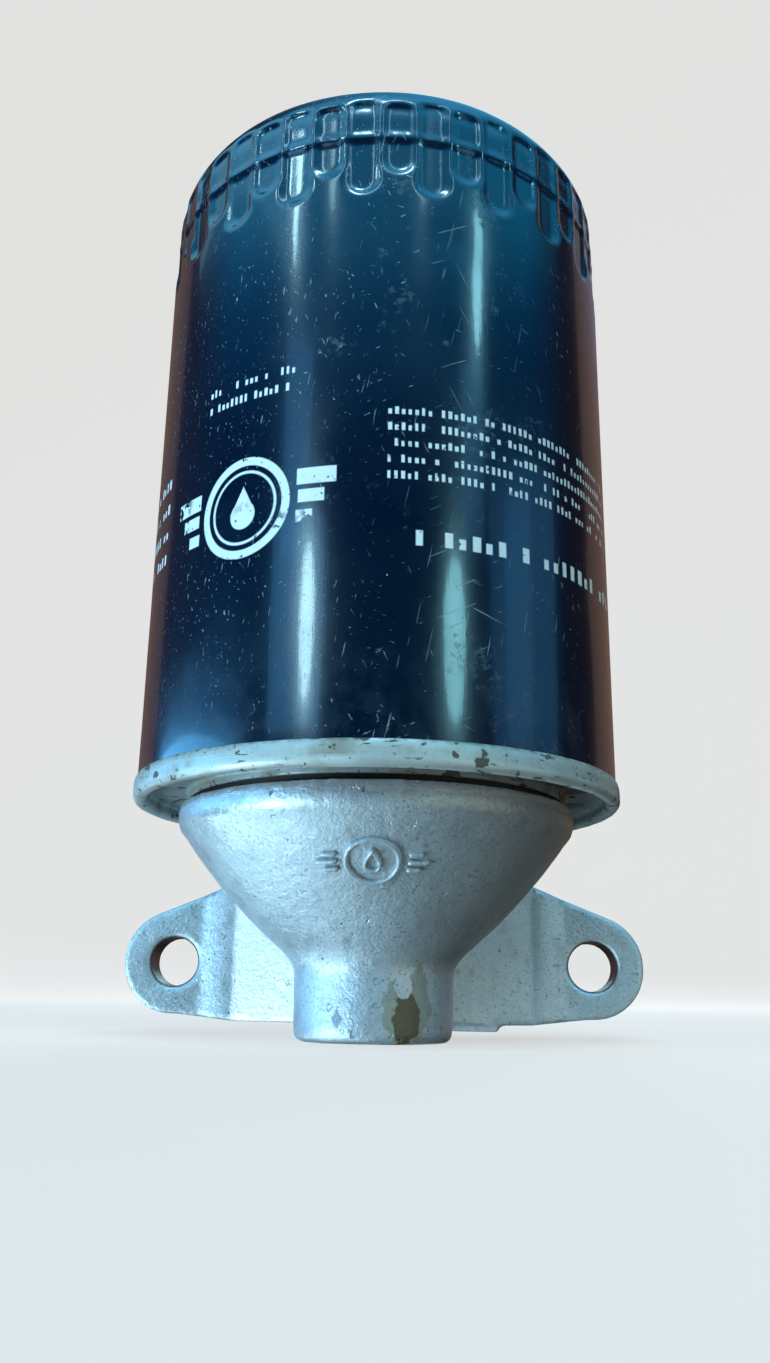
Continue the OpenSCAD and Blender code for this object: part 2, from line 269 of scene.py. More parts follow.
class Shader(Nodes):
    """Builds one node material. Lengths in the nodes are millimetres in the row frame."""

    def __init__(self, name):
        self.material = bpy.data.materials.new(name)
        self.material.use_nodes = True
        super().__init__(self.material.node_tree)
        self.tree.nodes.clear()
        self.surface = self.new("BsdfPrincipled")
        out = self.new("OutputMaterial")
        self.put(out.inputs["Surface"], self.surface.outputs["BSDF"])
        place = self.new("TexCoord").outputs["Object"]
        self.mm = self.vector("MULTIPLY", place, (1 / MM,) * 3)
        self.x, self.y, self.z = self.split(self.mm)

    def moved(self, *by):
        """The place, moved by so many millimetres, so that two noises of one size differ."""
        return self.vector("ADD", self.mm, by)

    def noise(self, size, detail=3.0, rough=0.5, at=None, stretch=(1, 1, 1)):
        """Noise of 0 to 1 with features about `size` millimetres across."""
        place = self.vector("MULTIPLY", at or self.mm, tuple(s / size for s in stretch))
        return self.node("TexNoise", {"Vector": place, "Scale": 1.0, "Detail": detail,
                                      "Roughness": rough})

    def spots(self, size, limit, soft, detail=2.0, at=None, stretch=(1, 1, 1)):
        """Mask of the places where a noise of that size rises above the limit."""
        return self.ramp(self.noise(size, detail, 0.55, at, stretch), limit, limit + soft)

    def theta(self):
        """Angle round the axis in degrees, 0 at the front and growing towards +X."""
        turn = self.math("ARCTAN2", self.x, self.product(self.y, -1.0))
        return self.product(turn, 180 / math.pi)

    def radius(self):
        return self.length(self.x, self.y)

    def cylinder_place(self, r):
        """Coordinates unrolled from a cylinder of radius r, with no seam: x, y scaled to it, and z."""
        flat = self.node("CombineXYZ", {0: self.x, 1: self.y, 2: 0.0})
        round_it = self.vector("MULTIPLY", self.vector("NORMALIZE", flat), (r, r, 0))
        height = self.node("CombineXYZ", {0: 0.0, 1: 0.0, 2: self.z})
        return self.vector("ADD", round_it, height)

    def bump(self, height, depth_mm, below=None):
        """Normal bumped by a height of 0 to 1, depth_mm high."""
        inputs = {"Strength": 1.0, "Distance": depth_mm * MM, "Height": height}
        if below is not None:
            inputs["Normal"] = below
        return self.node("Bump", inputs)

    def finish(self, **inputs):
        for key, value in inputs.items():
            key = key.replace("_", " ")
            value = (*value, 1) if isinstance(value, tuple) and len(value) == 3 else value
            self.put(self.surface.inputs[key], value)
        return self.material


# ---------------- the can's shape

can_low, can_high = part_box("filter_can")
CAN_R = can_high.x
CAN_FOOT = can_low.z
CAN_TOP = can_high.z
CAN_WALL = 0.7 * MM                # sheet thickness
CORNER_R = 12.8 * MM               # round between the wall and the crown
CROWN_TILT = math.radians(10)      # slope where that round meets the crown
CROWN_R = (CAN_R - CORNER_R + CORNER_R * math.sin(CROWN_TILT)) / math.sin(CROWN_TILT)
CORNER_Z = CAN_TOP - CROWN_R + (CROWN_R - CORNER_R) * math.cos(CROWN_TILT)
CORNER_TURN = math.pi / 2 - CROWN_TILT
CROWN_V = CORNER_Z + CORNER_R * CORNER_TURN      # length along the outline where the crown starts
POLE_V = CROWN_V + CROWN_R * CROWN_TILT          # and where it ends, on the axis

FLUTES = 44                        # long and short ones in turn
FLUTE_PITCH = 2 * math.pi / FLUTES
FIRST_LONG = math.radians(13.3)    # theta of a long flute
FLUTE_COLUMNS = 14                 # mesh columns in each flute
FLUTE_DEPTH = 0.75 * MM
HALF_WIDTH = CAN_R * FLUTE_PITCH / 2
LONG_FOOT, SHORT_FOOT = 148.0 * MM, 152.4 * MM
CREASE = (160.4 * MM, 161.4 * MM)  # plain ring between the two rows of flutes
LONG_HEAD, SHORT_HEAD = 169.6 * MM, 168.8 * MM
HEAD_ROUND = 2.4 * MM              # corner radius of the upper row's flutes
CREASE_DEPTH = 0.62                # of the flutes' own depth
DENTS = 16


def can_profile(v, inset=0.0):
    """Radius, height and outward direction at each length v along the outline; v is z on the wall."""
    turn = np.clip((v - CORNER_Z) / CORNER_R, 0, CORNER_TURN)
    on_crown = v > CROWN_V
    crown_turn = CORNER_TURN + (v - CROWN_V) / CROWN_R
    a = np.where(on_crown, crown_turn, turn)
    out_r, out_z = np.cos(a), np.sin(a)
    r = np.where(on_crown, CROWN_R * out_r, CAN_R - CORNER_R + CORNER_R * out_r)
    z = np.where(on_crown, CAN_TOP - CROWN_R + CROWN_R * out_z,
                 np.minimum(v, CORNER_Z) + CORNER_R * out_z)
    return r - inset * out_r, z - inset * out_z, out_r, out_z


def flute_depth(theta, v):
    """How far the fluted rows are pressed in, as rounded troughs that touch along sharp ridges."""
    step = (theta - FIRST_LONG) / FLUTE_PITCH
    number = np.round(step)
    side = np.abs(step - number) * FLUTE_PITCH * CAN_R
    long_one = number % 2 == 0
    foot = np.where(long_one, LONG_FOOT, SHORT_FOOT)
    head = np.where(long_one, LONG_HEAD, SHORT_HEAD)
    upper = v > np.mean(CREASE)
    rounding = np.where(upper, HEAD_ROUND, HALF_WIDTH)
    gap = np.where(upper, head - v, v - foot)
    corner_side = np.maximum(side - (HALF_WIDTH - rounding), 0)
    corner_end = np.maximum(rounding - gap, 0)
    edge = HALF_WIDTH - side
    at_corner = np.minimum(rounding - np.hypot(corner_side, corner_end), edge)
    edge = np.where(corner_end > 0, at_corner, edge)
    reach = 1 - np.clip(edge / (0.5 * HALF_WIDTH), 0, 1)
    depth = np.where(edge > 0, 1 - reach ** 2.2, 0)
    ring = smooth_step(np.abs(v - np.mean(CREASE)), 0.4 * MM, 1.3 * MM)
    return FLUTE_DEPTH * depth * (CREASE_DEPTH + (1 - CREASE_DEPTH) * ring)


def soften(field, rounds):
    """The field averaged with its neighbours, round the can and along it."""
    for _ in range(rounds):
        field = 0.5 * field + 0.25 * (np.roll(field, 1, 1) + np.roll(field, -1, 1))
        padded = np.concatenate([field[:1], field, field[-1:]])
        field = 0.5 * field + 0.25 * (padded[:-2] + padded[2:])
    return field


def dents(theta, v):
    """The depth of a few shallow knocks in the can's wall."""
    total = 0
    for _ in range(DENTS):
        at_theta, at_v = rng.uniform(-math.pi, math.pi), rng.uniform(0.055, 0.14)
        size, deep = rng.uniform(3, 9) * MM, rng.uniform(0.03, 0.13) * MM
        away = np.hypot(turn_from(at_theta, theta) * CAN_R, (v - at_v) * rng.uniform(0.6, 1.4)) / size
        total = total + deep * np.exp(-away ** 2 * 2)
    return total


def build_can(material):
    """The painted shell: an outside with flutes, dents and a slight unevenness, and a plain inside."""
    columns = FLUTES * FLUTE_COLUMNS
    wall_rows = np.arange(CAN_FOOT, 0.145, 2.6 * MM)
    flute_rows = np.arange(0.1455, 0.1715, 0.42 * MM)
    corner_rows = np.arange(0.1722, POLE_V - 14 * MM, 1.0 * MM)
    crown_rows = np.linspace(POLE_V - 13 * MM, POLE_V - 1.5 * MM, 9)
    rows = np.concatenate([wall_rows, flute_rows, corner_rows, crown_rows])
    theta, v = np.meshgrid(all_round(columns) + FIRST_LONG, rows)
    r, z, out_r, out_z = can_profile(v)
    press = soften(flute_depth(theta, v), 2) + dents(theta, v)
    fade = smooth_step(v, CAN_FOOT + 3 * MM, CAN_FOOT + 14 * MM)
    uneven = wave_noise(theta, v, 7, 70, 3) * 0.045 * MM * fade * smooth_step(POLE_V - v, 0, 20 * MM)
    press = np.maximum(press + 0.05 * MM * fade - uneven, 0)
    outer = on_axis(theta, r - press * out_r, z - press * out_z).reshape(-1, 3)

    inner_columns = columns // 4
    inner_rows = np.concatenate([np.arange(CAN_FOOT, 0.16, 6 * MM),
                                 np.arange(0.16, POLE_V - 8 * MM, 2.5 * MM)])
    inner_theta, iv = np.meshgrid(theta[0, ::4], inner_rows)
    behind_flutes = smooth_step(iv, 0.138, 0.146) * smooth_step(-iv, -0.176, -0.170)
    room = CAN_WALL + 0.95 * MM * behind_flutes
    ir, iz, _, _ = can_profile(iv, room)
    inner = on_axis(inner_theta, ir, iz).reshape(-1, 3)

    first_inner = len(outer) + 1
    outer_pole = len(outer)
    inner_pole = first_inner + len(inner)
    points = np.concatenate([outer, [(0, 0, CAN_TOP)], inner, [(0, 0, CAN_TOP - CAN_WALL)]])
    inner_quads = ring_quads(len(inner_rows), inner_columns, first_inner)[:, ::-1]
    faces = [*ring_quads(len(rows), columns), *inner_quads]
    last_outer = (len(rows) - 1) * columns
    last_inner = first_inner + (len(inner_rows) - 1) * inner_columns
    for j in range(columns):
        faces.append((last_outer + j, last_outer + (j + 1) % columns, outer_pole))
    for j in range(inner_columns):
        k = (j + 1) % inner_columns
        faces.append((last_inner + k, last_inner + j, inner_pole))
        foot = [(4 * j + 4 - n) % columns for n in range(5)]
        faces.append((first_inner + j, first_inner + k, *foot))
    add_piece("can_shell", points, faces, "cartridge", material, ["filter_can"])


# ---------------- seam, gasket, stud

seam_low, seam_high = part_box("seaming_lid")
gasket_low, gasket_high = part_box("sealing_gasket")
stud_low, stud_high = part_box("threaded_stud")
head_low, head_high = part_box("filter_head")
LAND_Z = head_high.z               # the head's sealing land

LID_T = 0.7 * MM
SEAM_IN_R = 43.7 * MM
LID_PANEL_Z = seam_low.z + 2.7 * MM
GROOVE_Z = LAND_Z + 4.6 * MM
GROOVE_R = (31.0 * MM, 35.5 * MM)
LID_HOLE_R = 27 * MM
SEAM_H = 4.5 * MM
GASKET_WALL_Z = seam_low.z + 0.9 * MM    # lower edge of the wall round the gasket
NICKS = 30                         # along the seam's edge


def build_seam(material):
    """The lid with its rolled seam, the gasket's groove and the wall round the gasket."""
    seam_r, low, top = seam_high.x, seam_low.z, seam_low.z + SEAM_H
    slot_r = (CAN_R - CAN_WALL - 0.05 * MM, CAN_R + 0.03 * MM)
    lip, shoulder_h, bend, fillet = 1.25 * MM, 1.9 * MM, 0.5 * MM, 0.9 * MM
    over, under, wall_r = LID_PANEL_Z + LID_T, LID_PANEL_Z, GROOVE_R[1] + LID_T
    outline = arc((SEAM_IN_R + lip, low + lip), lip, 180, 270, 8)
    outline += arc((seam_r - lip, low + lip), lip, 270, 360, 8)
    for a in np.radians(np.arange(10, 90, 12)):
        outline.append((slot_r[1] + (seam_r - slot_r[1]) * math.cos(a),
                        top - shoulder_h + shoulder_h * math.sin(a)))
    slot_z = CAN_FOOT - 0.1 * MM
    outline += [(slot_r[1], slot_z), (slot_r[0], slot_z), (slot_r[0], top - 0.1 * MM),
                (SEAM_IN_R + 0.3 * MM, top), (SEAM_IN_R, top - 0.3 * MM)]
    outline += arc((SEAM_IN_R - bend, over + bend), bend, 0, -90, 4)
    outline += [(wall_r, over), (wall_r, GROOVE_Z + LID_T), (GROOVE_R[0] - LID_T, GROOVE_Z + LID_T),
                (GROOVE_R[0] - LID_T, over), (LID_HOLE_R, over), (LID_HOLE_R, under),
                (GROOVE_R[0] - 0.2 * MM, under), (GROOVE_R[0], under + 0.2 * MM),
                (GROOVE_R[0], GROOVE_Z), (GROOVE_R[1], GROOVE_Z)]
    outline += arc((wall_r - LID_T / 2, GASKET_WALL_Z + LID_T / 2), LID_T / 2, 180, 360, 6)
    outline += arc((wall_r + fillet, under - fillet), fillet, 180, 90, 5)
    outline += arc((SEAM_IN_R - fillet, under - fillet), fillet, 90, 0, 5)
    nicks = [(rng.uniform(-math.pi, math.pi), rng.uniform(0.8, 3) * MM, rng.uniform(0.03, 0.12) * MM)
             for _ in range(NICKS)]

    def wobble(theta, r, z):
        edge = smooth_step(r, SEAM_IN_R - 0.5 * MM, seam_r)
        cut = 0
        for at, size, deep in nicks:
            cut = cut + deep * np.exp(-(turn_from(at, theta) * seam_r / size) ** 2)
        lower = smooth_step(-z, -(low + 2.2 * MM), -low)
        outer_face = smooth_step(r, slot_r[1], seam_r)
        roll = wave_noise(theta, z, 9, 0, 5) * 0.04 * MM
        r = r - outer_face * (cut * (1 - 0.5 * lower) + 0.05 * MM - roll)
        z = z + edge * lower * (0.06 * MM + cut * 0.6 + wave_noise(theta, r, 6, 0, 8) * 0.05 * MM)
        return r, z

    points, faces = revolve(densify(outline, 0.6 * MM), 420, wobble)
    add_piece("seam_lid", points, faces, "cartridge", material, ["seaming_lid"])


def build_gasket(material):
    """The rubber ring, with round edges."""
    out_r, in_r = gasket_high.x, GROOVE_R[0] + 0.3 * MM
    low, top, soft = gasket_low.z, gasket_high.z, 0.9 * MM
    corners = ((out_r - soft, low + soft), (out_r - soft, top - soft),
               (in_r + soft, top - soft), (in_r + soft, low + soft))
    outline = []
    for number, corner in enumerate(corners):
        outline += arc(corner, soft, 90 * number - 90, 90 * number, 6)

    def wobble(theta, r, z):
        return r - (0.04 + 0.03 * wave_noise(theta, z, 8, 900, 11)) * MM, z

    points, faces = revolve(densify(outline, 0.7 * MM), 240, wobble)
    add_piece("gasket_ring", points, faces, "gasket", material, ["sealing_gasket"])


THREAD_PITCH = 25.4 / 16 * MM
STUD_BORE_R = 6.5 * MM


def build_stud(material):
    """The hollow stud, with its thread as a helix between the crests and the roots."""
    major, low, top = stud_high.x, stud_low.z, stud_high.z
    deep, chamfer = 0.85 * MM, 0.9 * MM
    thread_z = np.arange(LAND_Z - 0.5 * MM, top - 0.3 * MM, THREAD_PITCH / 10)
    rows = np.concatenate([[low, LAND_Z - 1.5 * MM], thread_z, [top]])
    columns = 96
    theta, z = np.meshgrid(all_round(columns), rows)
    phase = (z / THREAD_PITCH - theta / (2 * math.pi)) % 1
    flank = np.clip(np.abs(phase - 0.5) * 2 * 1.25 - 0.125, 0, 1)
    fade = smooth_step(z, LAND_Z - 0.5 * MM, LAND_Z + 0.8 * MM)
    r = major - 0.02 * MM - deep * flank * fade
    r = np.minimum(r, major - 0.1 * MM - np.clip(z - (top - chamfer), 0, None))
    outer = on_axis(theta, r, z).reshape(-1, 3)
    bore = [(STUD_BORE_R + 0.4 * MM, top), (STUD_BORE_R, top - 0.4 * MM), (STUD_BORE_R, low)]
    points = np.concatenate([outer] + [on_axis(theta[0], radius, height) for radius, height in bore])
    faces = looped_quads(len(rows) + len(bore), columns)
    add_piece("stud_threaded", points, faces, "head", material, ["threaded_stud"])


# ---------------- parts that give way inside

def yielding_copy(node, name, material):
    """A copy of a CAD node's mesh, with the name of its joint, its held end and the joint's travel."""
    obj = in_scene(name, frame["nodes"][node].data.copy())
    obj.data.materials.clear()
    obj.data.materials.append(material)
    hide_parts(node)
    for joint in frame["joints"]:
        for part in joint.get("deforming_nodes", []):
            if part["node"] == node:
                return obj, joint["name"], part["fixed_end_z_m"], joint["range_m"][1]


def build_relief_coil(material):
    """The relief valve's spring, copied from its CAD node to ride on the cartridge. The copy keeps its
    shape; the spring itself shortens towards the cage's floor as the valve opens.
    """
    obj, joint, held, travel = yielding_copy("relief_spring", "relief_coil", material)
    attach(obj, "cartridge")
    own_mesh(obj)


def build_valve_skirt(material):
    """The drainback valve, copied from its CAD node with its place baked into the mesh. The copy keeps
    its shape; the valve's lip lifts as it opens, and its neck stays at the end cap.
    """
    obj, _, held, _ = yielding_copy("drainback_valve", "drainback_skirt", material)
    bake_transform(obj)


# ---------------- the cast head

VOXEL = 0.6 * MM
BOLT_X = 46.8 * MM
BOLT_Z = 15 * MM
BOLT_R = 5.3 * MM
RIM_H = 3 * MM                     # the turned band under the sealing land
RIM_R = 37.7 * MM
PORT_R = 10.5 * MM
RELAX_ROUNDS = 14


def remeshed(source, name, voxel):
    """A copy of the object's mesh as one even skin of small quads."""
    copy = in_scene(name, source.data.copy())
    weld = copy.modifiers.new("weld", "WELD")
    weld.merge_threshold = 1e-6
    skin = copy.modifiers.new("skin", "REMESH")
    skin.mode = "VOXEL"
    skin.voxel_size = voxel
    graph = bpy.context.evaluated_depsgraph_get()
    mesh = bpy.data.meshes.new_from_object(copy.evaluated_get(graph))
    bpy.data.objects.remove(copy)
    return mesh


def relax(points, edges, strength, rounds):
    """Moves each point part of the way to the middle of its neighbours, by its own strength."""
    count = np.bincount(edges.ravel(), minlength=len(points))[:, None]
    for _ in range(rounds):
        middle = np.zeros_like(points)
        for axis in range(3):
            middle[:, axis] = (np.bincount(edges[:, 0], points[edges[:, 1], axis], len(points))
                               + np.bincount(edges[:, 1], points[edges[:, 0], axis], len(points)))
        points = points + strength[:, None] * (middle / count - points)
    return points


def read_all(items, attribute, width, kind=float):
    """One attribute of all the vertices or edges, as rows of that many numbers."""
    values = np.empty(len(items) * width, kind)
    items.foreach_get(attribute, values)
    return values.reshape(-1, width)


def build_head(material):
    """The casting, with its edges rounded and its skin lumpy, except where it is machined."""
    mesh = remeshed(frame["nodes"]["filter_head"], "head_skin", VOXEL)
    points = read_all(mesh.vertices, "co", 3)
    edges = read_all(mesh.edges, "vertices", 2, np.int64)

    x, y, z = points.T
    r = np.hypot(x, y)
    machined_rim = smooth_step(z, LAND_Z - RIM_H - 0.6 * MM, LAND_Z - RIM_H + 0.6 * MM)
    machined_back = smooth_step(y, head_high.y - 1.6 * MM, head_high.y - 0.5 * MM)
    bolt_away = np.hypot(np.abs(x) - BOLT_X, z - BOLT_Z)
    bored = 1 - smooth_step(bolt_away, BOLT_R + 0.6 * MM, BOLT_R + 1.6 * MM)
    ports = (1 - smooth_step(r, PORT_R, PORT_R + 1 * MM)) * (z < LAND_Z - 1 * MM)
    machined = np.maximum.reduce([machined_rim, machined_back, bored, ports])
    crisp = smooth_step(y, 27 * MM, 33 * MM) * smooth_step(np.abs(x), 15 * MM, 20 * MM)
    points = relax(points, edges, 0.5 * (1 - 0.85 * crisp) * (1 - 0.93 * machined), RELAX_ROUNDS)
    on_rim = smooth_step(r, RIM_R - 0.5 * MM, RIM_R - 0.2 * MM)
    on_rim = on_rim * smooth_step(z, LAND_Z - 2.6 * MM, LAND_Z - 2 * MM)
    on_rim = (on_rim * (z < LAND_Z - 0.3 * MM))[:, None]
    true_r = RIM_R / np.hypot(points[:, 0], points[:, 1])
    true_rim = points * np.stack([true_r, true_r, np.ones_like(r)], 1)
    points = points + on_rim * (true_rim - points)

    mesh.vertices.foreach_set("co", points.ravel())
    mesh.update()
    normals = read_all(mesh.vertices, "normal", 3)
    cast = (1 - machined) * (1 - 0.6 * crisp)
    lumps = np.array([noise.noise(Vector(p) * 280) * 0.6 + noise.noise(Vector(p) * 800) * 0.45
                      for p in points])
    points = points + normals * (lumps * cast * 0.10 * MM - 0.02 * MM)[:, None]
    points = np.clip(points, np.array(head_low), np.array(head_high))
    faces = [tuple(p.vertices) for p in mesh.polygons]
    bpy.data.meshes.remove(mesh)
    return add_piece("head_casting", points, faces, "head", material,
                     ["filter_head"])


# ---------------- raised emblem on the cone

EMBLEM_THETA = math.radians(1.5)
EMBLEM_Z = 29.6 * MM
EMBLEM_HEIGHT = 0.85 * MM
EMBLEM_R = 31 * MM                 # the cone's radius there
CONE_TILT = math.radians(-43)      # slope of the cone's outward direction
# height and width of a stroke's steps, as shares of the emblem's height and the stroke's width
STROKE_LEVELS = ((-0.5, 1.5), (0.55, 1.15), (0.9, 0.85), (1.0, 0.5))


def thick_line(points, width, closed=False):
    """The two sides of a line of constant width, as rows of (left, right) points."""
    points = np.array(points, float)
    ahead = np.roll(points, -1, 0) - points
    behind = points - np.roll(points, 1, 0)
    if not closed:
        ahead[-1], behind[0] = behind[-1], ahead[0]
    ahead, behind = (part / np.linalg.norm(part, axis=1)[:, None] for part in (ahead, behind))
    along = ahead + behind
    side = np.stack([-along[:, 1], along[:, 0]], 1)
    side *= (width / 2) / np.linalg.norm(side, axis=1)[:, None]
    return points + side, points - side


def emblem_strokes():
    """Centre lines of the emblem in millimetres: a ring round a drop, with bars on both sides."""
    ring = [(4.4 * math.cos(a), 4.4 * math.sin(a)) for a in all_round(48)]
    drop = [(1.75 * math.sin(a) * math.sin(a / 2) ** 1.4, 2.1 * math.cos(a) + 0.1)
            for a in all_round(48)]
    strokes = [(ring, 0.75, True), (drop, 0.6, True)]
    for side in (-1, 1):
        for level, reach in ((-1.5, 8.2), (0, 9.4), (1.5, 8.2)):
            strokes.append(([(side * s, level) for s in np.linspace(5.9, reach, 6)], 0.7, False))
    return strokes


def build_emblem(material, head):
    """The strokes of the emblem, laid on the cone's skin as ridges with round shoulders."""
    surface = BVHTree.FromObject(head, bpy.context.evaluated_depsgraph_get())
    points, faces = [], []

    def on_cone(u, w):
        theta = EMBLEM_THETA + u * MM / EMBLEM_R
        level = EMBLEM_Z + w * MM * math.cos(CONE_TILT)
        out = Vector((math.sin(theta), -math.cos(theta), 0))
        hit, _, _, _ = surface.ray_cast(out * 0.08 + Vector((0, 0, level)), -out)
        return hit, out * math.cos(CONE_TILT) + Vector((0, 0, math.sin(CONE_TILT)))

    for line, width, closed in emblem_strokes():
        steps = [(*thick_line(line, width * share, closed), level) for level, share in STROKE_LEVELS]
        ring = [(left, level) for left, _, level in steps]
        ring += [(right, level) for _, right, level in reversed(steps)]
        first, rows, across = len(points), len(line), len(ring)
        for n in range(rows):
            for side, level in ring:
                hit, normal = on_cone(*side[n])
                points.append(hit + normal * (level * EMBLEM_HEIGHT))
        for n in range(rows if closed else rows - 1):
            for k in range(across):
                a, b = first + n * across, first + (n + 1) % rows * across
                faces.append((a + k, b + k, b + (k + 1) % across, a + (k + 1) % across))
        if not closed:
            faces.append([first + k for k in range(across)])
            faces.append([first + (rows - 1) * across + k for k in reversed(range(across))])
    return add_piece("head_emblem", points, faces, "head", material)


# ---------------- materials

PAINT_BLUE = (0.0003, 0.0036, 0.0155)
PAINT_TEAL = (0.0005, 0.0064, 0.0175)
PAINT_HAZE = (0.0015, 0.014, 0.026)
PRINT_WHITE = (0.70, 0.75, 0.74)
DUST = (0.10, 0.155, 0.17)
SCUFFED = (0.20, 0.27, 0.28)
PRIMER = (0.27, 0.34, 0.34)
CHIPPED = (0.45, 0.50, 0.47)
RUSTY = (0.15, 0.10, 0.06)
BADGE_THETA, BADGE_Z = -29.0, 88.5           # middle of the printed badge: degrees, millimetres
BADGE_BARS = ((10.6, 17.4, 2.4, 5.2), (10.9, 15.4, -0.9, 1.3), (10.6, 13.4, -4.4, -2.4))
# printed lines: lowest height, pitch, number, letter height, theta from and to, block, seed
PRINTED = ((109.1, 3.3, 2, 1.7, -41, -17, 1.35, 3.0), (79.3, 4.0, 1, 2.9, 9.5, 73, 3.1, 11.0),
           (91.2, 3.0, 5, 1.6, 3.5, 72, 1.45, 23.0), (84.2, 5.1, 4, 2.2, -75, -57.5, 2.0, 37.0))
# long scratches: lean in degrees, width, limit of the noise, seed
SCRATCHES = ((12, 0.09, 0.70, 3), (-28, 0.11, 0.705, 9), (64, 0.08, 0.705, 17), (-71, 0.12, 0.715, 29))
SCRATCH_LENGTH = 26.0
LEAN_AXIS = (0.35, -0.9, 0.1)


def text_block(s, theta, low, pitch, lines, height, start, end, block, seed):
    """Lines of small printed blocks that stand for text.

    The lines go up from low, and run from theta start to theta end; a block takes `block` degrees.
    """
    level = s.minus(s.z, low)
    line = s.math("FLOOR", s.math("DIVIDE", level, pitch))
    level = s.minus(level, s.product(line, pitch))
    place = s.math("DIVIDE", s.minus(theta, start), block)
    key = s.total(s.math("FLOOR", place), s.math("MULTIPLY_ADD", line, 57.3, seed))
    draw = s.node("TexWhiteNoise", {"W": key}, noise_dimensions="1D")
    wide = s.ramp(draw, 0.0, 1.0, 0.48, 0.72)
    part = s.math("FRACT", place)
    filled = s.product(s.ramp(part, 0.02, 0.10), s.ramp(s.minus(wide, part), 0.0, 0.08))
    tall = s.ramp(s.math("FRACT", s.product(draw, 7.0)), 0.55, 0.56, 0.72 * height, height)
    written = s.product(s.ramp(level, 0.0, 0.2), s.ramp(s.minus(tall, level), 0.0, 0.2))
    inside = s.product(s.band(theta, start, end, 0.1), s.band(s.z, low, low + pitch * lines, 0.05))
    return s.product(s.ramp(draw, 0.20, 0.21), filled, written, inside)


def ring_mask(s, u, w, radius, width):
    """A ring of that radius and line width round (0, 0) in the plane u, w."""
    off_line = s.size(s.minus(s.length(u, w), radius))
    return s.ramp(off_line, width / 2 - 0.1, width / 2 + 0.1, 1.0, 0.0)


def box_mask(s, u, w, u_low, u_high, w_low, w_high):
    return s.product(s.band(u, u_low, u_high, 0.15), s.band(w, w_low, w_high, 0.15))


def print_mask(s):
    """White print on the can: a drop in a ring between bars, two small lines, and a block of advice."""
    theta = s.theta()
    per_degree = CAN_R / MM * math.pi / 180
    u = s.product(s.minus(theta, BADGE_THETA), per_degree)
    w = s.minus(s.z, BADGE_Z)
    belly = s.ramp(s.length(u, s.total(w, 1.4)), 2.5, 2.7, 1.0, 0.0)
    slope = s.total(s.size(u), s.product(w, 0.52))
    tip = s.product(s.ramp(slope, 1.95, 2.15, 1.0, 0.0), s.ramp(w, -0.8, -0.6))
    masks = [ring_mask(s, u, w, 8.6, 1.5), ring_mask(s, u, w, 6.6, 0.5), belly, tip]
    for side in (-1.0, 1.0):
        side_u = s.product(u, side)
        masks += [box_mask(s, side_u, w, *bar) for bar in BADGE_BARS]
    masks += [text_block(s, theta, *lines) for lines in PRINTED]
    flaking = s.product(s.spots(9.0, 0.56, 0.1), s.spots(1.6, 0.50, 0.06, 4.0))
    worn = s.either(s.spots(1.1, 0.64, 0.05, 4.0), flaking)
    return s.product(s.either(*masks), s.minus(1.0, worn))


def scratch(s, around, lean, width, limit, seed):
    """Long thin marks that lean by so many degrees from the can's axis."""
    place = s.vector("ADD", around, (seed * 13.0, seed * 7.0, seed * 5.0))
    turn = {"Vector": place, "Axis": LEAN_AXIS, "Angle": math.radians(lean)}
    turned = s.node("VectorRotate", turn, rotation_type="AXIS_ANGLE")
    thin = 1 / (width * 6)
    return s.spots(1.0, limit, 0.035, 2.0, turned, (thin, thin, 1 / SCRATCH_LENGTH))


